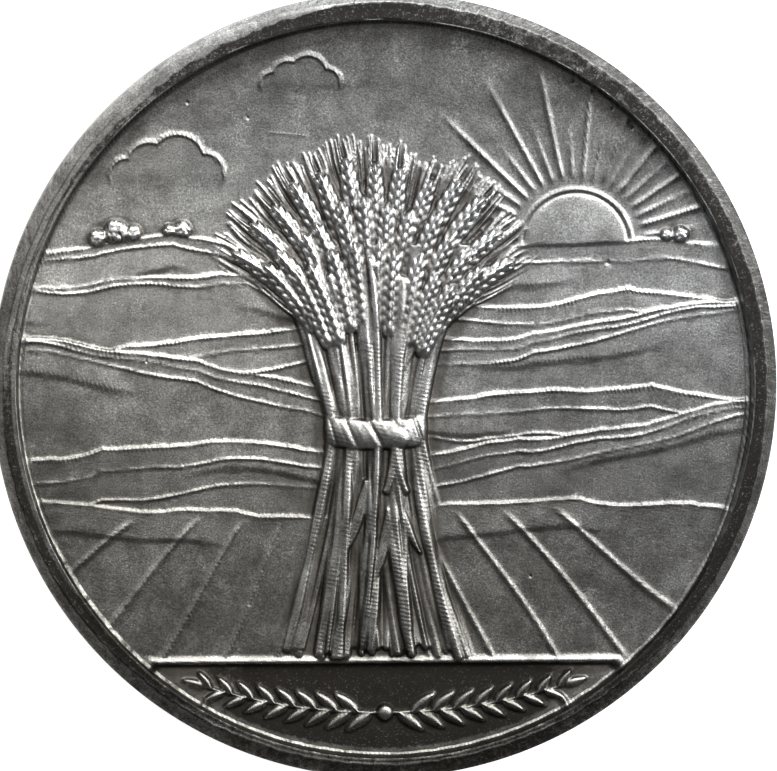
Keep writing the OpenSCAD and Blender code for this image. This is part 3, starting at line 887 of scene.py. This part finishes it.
# Material: noise over the medal, with its scale, detail and roughness
NOISES = [
    ("broad", 110, 3, 0.5),
    ("clouds", 260, 5, 0.6),
    ("groove_sway", 260, 2, 0.5),
    ("scuffs", 330, 4, 0.7),
    ("step_places", 420, 3, 0.6),
    ("dark_places", 520, 4, 0.6),
    ("places", 620, 4, 0.62),
    ("cut_sway", 700, 2, 0.5),
    ("blotches", 800, 3, 0.6),
    ("step_sway", 1400, 2, 0.5),
    ("spots", 1500, 5, 0.7),
    ("mottle", 2600, 4, 0.65),
    ("flecks", 3600, 3, 0.7),
    ("speck", 8200, 2, 0.5),
    ("grain", 9500, 3, 0.6),
]
POLISHED = (0.92, 0.91, 0.89)
DIRT = (0.05, 0.045, 0.04)
SOOT = (0.028, 0.025, 0.022)
# In metres: the middle of the bevel, and the pitches of the tool's steps and of the grooves on the rim
BEVEL_R = 0.0245
STEP = STEP_PITCH / 1000
GROOVE = 0.00042


class Nodes:
    """Short calls for the nodes of one tree."""

    def __init__(self, tree):
        self.tree = tree

    def add(self, kind, inputs=(), **settings):
        node = self.tree.nodes.new(kind)
        for key, value in settings.items():
            setattr(node, key, value)
        for key, value in dict(inputs).items():
            if isinstance(value, bpy.types.NodeSocket):
                self.tree.links.new(value, node.inputs[key])
            else:
                node.inputs[key].default_value = value
        return node

    def math(self, operation, *values, clamp=False):
        node = self.add("ShaderNodeMath", dict(enumerate(values)), operation=operation, use_clamp=clamp)
        return node.outputs[0]

    def times(self, first, *others):
        for value in others:
            first = self.math("MULTIPLY", first, value)
        return first

    def plus(self, first, *others):
        for value in others:
            first = self.math("ADD", first, value)
        return first

    def rest(self, value):
        """What is left of 1."""
        return self.math("SUBTRACT", 1.0, value)

    def swing(self, noise, amount):
        """Noise about 0."""
        return self.times(self.math("SUBTRACT", noise, 0.5), amount)

    def ramp(self, value, low, high, to_low=0.0, to_high=1.0):
        inputs = {"Value": value, "From Min": low, "From Max": high, "To Min": to_low, "To Max": to_high}
        return self.add("ShaderNodeMapRange", inputs, interpolation_type="SMOOTHSTEP").outputs["Result"]

    def noise(self, vector, scale, detail, rough):
        inputs = {"Vector": vector, "Scale": scale, "Detail": detail, "Roughness": rough}
        return self.add("ShaderNodeTexNoise", inputs).outputs["Fac"]

    def streaks(self, vector, scale, turn):
        inputs = {"Vector": vector, "Rotation": (0, 0, turn), "Scale": scale}
        return self.noise(self.add("ShaderNodeMapping", inputs).outputs[0], 1.0, 3, 0.6)

    def mix(self, factor, a, b, blend="MIX"):
        a, b = ((*q, 1) if isinstance(q, tuple) else q for q in (a, b))
        inputs = {0: factor, 6: a, 7: b}
        return self.add("ShaderNodeMix", inputs, data_type="RGBA", blend_type=blend).outputs[2]

    def combine(self, x, y, z):
        return self.add("ShaderNodeCombineXYZ", {"X": x, "Y": y, "Z": z}).outputs[0]

    def length(self, operation, *vectors):
        node = self.add("ShaderNodeVectorMath", dict(enumerate(vectors)), operation=operation)
        return node.outputs["Value"]

    def bump(self, height, distance, normal=None):
        inputs = {"Strength": 1.0, "Distance": distance, "Height": height}
        if normal is not None:
            inputs["Normal"] = normal
        return self.add("ShaderNodeBump", inputs).outputs[0]


def surface(n):
    """What the finish depends on: places, the mesh's own values, and noise."""
    at = SimpleNamespace(place=n.add("ShaderNodeTexCoord").outputs["Object"])
    axes = n.add("ShaderNodeSeparateXYZ", {0: at.place}).outputs
    at.x, at.y = axes["X"], axes["Y"]
    at.flat = n.combine(at.x, at.y, 0.0)
    at.radius = n.length("LENGTH", at.flat)
    for name in VALUES:
        setattr(at, name, n.add("ShaderNodeAttribute", attribute_name=name).outputs["Fac"])
    for name, *noise in NOISES:
        setattr(at, name, n.noise(at.place, *noise))
    at.brush = n.streaks(at.place, (6500, 800, 500), 0.06)
    at.level_brush = n.streaks(at.place, (700, 6200, 500), -0.05)
    return at


def worn_metal(n, at):
    """Bare metal with a light and dark grain, and light specks."""
    metal = n.mix(n.ramp(at.grain, 0.34, 0.66), (0.36, 0.35, 0.33), (0.84, 0.83, 0.8))
    metal = n.mix(n.ramp(at.mottle, 0.36, 0.66, 0, 0.36), metal, (0.3, 0.29, 0.272))
    metal = n.mix(n.ramp(at.broad, 0.44, 0.6, 0, 0.3), metal, (0.34, 0.33, 0.315))
    metal = n.mix(n.ramp(at.brush, 0.45, 0.7, 0, 0.2), metal, POLISHED)
    metal = n.mix(n.ramp(at.level_brush, 0.54, 0.7, 0, 0.35), metal, (0.26, 0.25, 0.235))
    dark = n.times(n.ramp(at.dark_places, 0.46, 0.6, 0, 0.55), at.tooling)
    metal = n.mix(dark, metal, (0.26, 0.24, 0.22))
    crests = n.times(n.ramp(at.hollow, 0.015, 0.11), n.rest(dark))
    metal = n.mix(crests, metal, POLISHED)
    light = n.times(n.ramp(at.speck, 0.57, 0.66), n.ramp(at.clouds, 0.56, 0.42, 0.3, 1.0))
    return n.mix(light, metal, (0.97, 0.965, 0.95)), crests, light


def toning(n, at, metal, light):
    """Broad toning with painted shade and light, light scuffs, patina and painted shade in the hollows, and
    lighter and darker places.
    """
    # The tone holds tarnish together with the painted shade and light of the field, the rim's foot and the
    # bevel
    tone = n.plus(at.tarnish, n.swing(at.clouds, 0.7), n.swing(at.blotches, 0.4), n.times(at.tooling, -0.14))
    toned = n.mix(n.ramp(at.grain, 0.36, 0.64), (0.101, 0.096, 0.088), (0.198, 0.19, 0.178))
    toned = n.mix(n.times(light, 0.35), toned, (0.5, 0.49, 0.47))
    colour = n.mix(n.math("MULTIPLY", tone, 0.85, clamp=True), metal, toned)
    scuffs = n.times(n.ramp(at.scuffs, 0.57, 0.68), n.ramp(at.speck, 0.44, 0.6))
    colour = n.mix(n.times(scuffs, 0.35), colour, (0.7, 0.7, 0.7))
    # Patina in the hollows, with painted shade on the field round the high relief
    patina_and_painted_shade = n.ramp(n.plus(at.hollow, n.swing(at.clouds, 0.06)), -0.012, -0.1)
    colour = n.mix(n.times(patina_and_painted_shade, 0.82), colour, (0.085, 0.075, 0.066))
    places = n.mix(n.ramp(at.places, 0.36, 0.64), (0.8, 0.8, 0.8), (1.16, 1.16, 1.16))
    return n.mix(1.0, colour, places, "MULTIPLY"), patina_and_painted_shade


def tool_steps(n, at, colour):
    """Short steps of the tool along the raised lines, but not on the sun."""
    along = n.plus(at.x, n.times(at.y, 0.35))
    steps = n.math("SINE", n.plus(n.times(along, 2 * math.pi / STEP), n.times(at.step_sway, 9.0)))
    from_sun = n.length("DISTANCE", at.flat, (SUN_X / 1000, SUN_Y / 1000, 0.0))
    lines = n.times(n.ramp(at.hollow, 0.006, 0.026), n.ramp(at.hollow, 0.11, 0.075), n.rest(at.tooling))
    off_sun = n.ramp(from_sun, SUN_R / 1000, SUN_R / 1000 + 0.0002)
    gaps = n.times(n.ramp(steps, 0.3, -0.6), lines, n.ramp(at.step_places, 0.4, 0.58, 0.25, 0.85), off_sun)
    return n.mix(gaps, colour, (0.13, 0.125, 0.115))


def sooted(n, at, colour):
    blotched = n.plus(at.soot, n.swing(at.spots, 0.9), n.swing(at.flecks, 0.8))
    black = n.times(n.ramp(blotched, 0.3, 0.8), n.ramp(at.soot, 0.0, 0.25))
    black = n.times(black, n.ramp(at.speck, 0.6, 0.7, 1, 0.6))
    return n.mix(n.times(black, 0.95), colour, SOOT), black


def bevel_marks(n, at, colour, black):
    """Slanted tool marks on the bevel: a painted sheen on them that is stronger at the top, dark streaks and
    flecks.
    """
    around = n.times(n.math("ARCTAN2", at.y, at.x), BEVEL_R)
    slanted = n.plus(around, n.times(at.radius, n.ramp(at.y, -0.01, 0.02, 0.3, 0.8)))
    marks = n.noise(n.combine(n.times(slanted, 4300), n.times(at.radius, 1500), 0.0), 1.0, 5, 0.75)
    scored = n.times(at.scored, n.ramp(at.clouds, 0.4, 0.58, 0.25, 1.0))
    # A painted sheen on the marks, brightest at the top where the light catches the bevel
    painted_sheen = n.times(n.ramp(marks, 0.52, 0.66), scored, n.ramp(at.y, -0.016, 0.014, 0.05, 0.75))
    colour = n.mix(n.times(painted_sheen, n.rest(black)), colour, (0.6, 0.6, 0.595))
    streaks = n.times(n.ramp(marks, 0.48, 0.34), scored, n.ramp(at.y, -0.016, 0.014, 0.35, 0.85))
    colour = n.mix(streaks, colour, DIRT)
    flecks = n.times(n.ramp(at.spots, 0.56, 0.66), scored, n.ramp(at.x, -0.012, -0.022, 0.5, 0.9))
    return n.mix(flecks, colour, DIRT), n.times(marks, scored)


def rim_grooves(n, at, colour):
    """Fine grooves that run along the left of the rim."""
    across = n.plus(n.times(at.radius, 2 * math.pi / GROOVE), n.times(at.groove_sway, 5.0))
    on_rim = n.times(n.ramp(at.radius, 0.0233, 0.0236, 0.0, 0.6), n.ramp(at.radius, 0.0246, 0.0242))
    grooves = n.times(n.ramp(n.math("SINE", across), 0.35, 0.95), on_rim, n.ramp(at.x, -0.014, -0.021))
    return n.mix(grooves, colour, DIRT)


def fine_relief(n, at, marks):
    """The normal, with hammering, grain, brushing, cuts across the straw, and the bevel's marks."""
    hammered = n.times(at.mottle, n.ramp(at.tooling, 0.0, 1.0, 0.3, 1.0))
    lengthwise = n.plus(at.y, n.times(at.x, 0.22))
    cuts = n.math("SINE", n.plus(n.times(lengthwise, 2 * math.pi / STEP), n.times(at.cut_sway, 6.0)))
    crests = n.times(at.tooling, n.ramp(at.hollow, -0.03, 0.05))
    cuts = n.times(cuts, crests, n.ramp(at.clouds, 0.44, 0.54))
    normal = n.bump(hammered, 18e-6)
    for height, depth in ((at.grain, 11e-6), (at.brush, 4e-6), (cuts, 3.5e-6), (marks, 60e-6)):
        normal = n.bump(height, depth, normal)
    return normal


def silver():
    material = bpy.data.materials.new("toned_silver")
    material.use_nodes = True
    tree = material.node_tree
    tree.nodes.clear()
    n = Nodes(tree)
    at = surface(n)
    metal, crests, light = worn_metal(n, at)
    colour, patina_and_painted_shade = toning(n, at, metal, light)
    colour = tool_steps(n, at, colour)
    colour, black = sooted(n, at, colour)
    colour, marks = bevel_marks(n, at, colour, black)
    colour = rim_grooves(n, at, colour)
    # A little warmer at the lower left than at the upper right
    tint = n.mix(n.ramp(n.plus(at.x, at.y), 0.026, -0.026), (0.965, 0.99, 1.02), (1.01, 1.0, 0.965))
    rough = n.ramp(at.mottle, 0.25, 0.75, 0.3, 0.38)
    rough = n.plus(rough, n.times(patina_and_painted_shade, 0.15), n.times(black, 0.12), n.times(crests, -0.06))
    shader = n.add("ShaderNodeBsdfPrincipled", {
        "Base Color": n.mix(1.0, colour, tint, "MULTIPLY"), "Metallic": 1.0, "Roughness": rough,
        "Specular Tint": (0.5, 0.5, 0.5, 1), "Normal": fine_relief(n, at, marks),
    })
    n.add("ShaderNodeOutputMaterial", {"Surface": shader.outputs[0]})
    return material


finish = silver()
for part in medal():
    part.data.materials.append(finish)
    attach(part, "root")
    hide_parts("medal")


# Floor
FLOOR_HALF = 4.0


def floor():
    mesh = bpy.data.meshes.new("floor")
    s = FLOOR_HALF
    mesh.from_pydata([(-s, -s, 0), (s, -s, 0), (s, s, 0), (-s, s, 0)], [], [(0, 1, 2, 3)])
    obj = placed("floor", mesh)
    material = bpy.data.materials.new("pale_floor")
    material.use_nodes = True
    shader = material.node_tree.nodes["Principled BSDF"]
    pale = {"Base Color": (0.86, 0.86, 0.86, 1), "Emission Color": (1, 1, 1, 1)}
    for key, value in {**pale, "Roughness": 0.9, "Emission Strength": 0.9}.items():
        shader.inputs[key].default_value = value
    mesh.materials.append(material)


# Lights
def panel(name, azimuth, elevation, distance, size, radiance, aim=(0, 0, 0.002)):
    """A soft panel that faces the medal from a direction in degrees."""
    data = bpy.data.lights.new(name, "AREA")
    data.shape = "RECTANGLE"
    data.size, data.size_y = size
    data.energy = radiance * math.pi * size[0] * size[1]
    a, e = math.radians(azimuth), math.radians(elevation)
    level = math.cos(e)
    place = Vector(aim) + distance * Vector((level * math.cos(a), level * math.sin(a), math.sin(e)))
    obj = placed(name, data)
    obj.location = place
    obj.rotation_mode = "QUATERNION"
    obj.rotation_quaternion = (Vector(aim) - place).to_track_quat("-Z", "Y")
    obj.visible_camera = False


def world(strength):
    data = bpy.data.worlds.new("studio")
    data.use_nodes = True
    bpy.context.scene.world = data
    back = data.node_tree.nodes["Background"]
    back.inputs["Color"].default_value = (0.97, 0.98, 1.0, 1)
    back.inputs["Strength"].default_value = strength


# Camera: above the medal, leaning a little to the upper left, with the disc as large as in the photograph
IMAGE_W = 777
DISC_PX = 393.1
OFFSET_PX = (-2.6, -1.2)
SENSOR_W = 36
CAMERA_DISTANCE = 0.45
AIM_Z = 0.0036
LEAN = math.radians(5)
LEAN_TO = math.radians(135)


def camera():
    data = bpy.data.cameras.new("camera")
    pixel = EDGE_R / 1000 / DISC_PX
    data.sensor_width = SENSOR_W
    data.lens = SENSOR_W * CAMERA_DISTANCE / (IMAGE_W * pixel)
    data.clip_start, data.clip_end = 0.01, 20
    level = math.sin(LEAN)
    back = Vector((level * math.cos(LEAN_TO), level * math.sin(LEAN_TO), math.cos(LEAN)))
    right = Vector((0, 1, 0)).cross(back).normalized()
    up = back.cross(right)
    target = Vector((0, 0, AIM_Z)) - right * OFFSET_PX[0] * pixel - up * OFFSET_PX[1] * pixel
    place = target + back * CAMERA_DISTANCE
    obj = placed("camera", data)
    obj.matrix_world = Matrix((
        (right.x, up.x, back.x, place.x),
        (right.y, up.y, back.y, place.y),
        (right.z, up.z, back.z, place.z),
        (0, 0, 0, 1),
    ))
    bpy.context.scene.camera = obj


floor()
world(0.075)
panel("window", 66, 45, 1.0, (1.25, 0.85), 4.2)
panel("overhead", 110, 78, 1.25, (0.8, 0.6), 0.55)
panel("right", 12, 40, 0.9, (0.5, 0.6), 2.6)
panel("upper_left", 128, 46, 0.9, (0.35, 0.5), 1.3)
panel("left", 172, 42, 0.9, (0.45, 0.5), 0.45)
camera()
bpy.context.scene.view_settings.view_transform = "Standard"
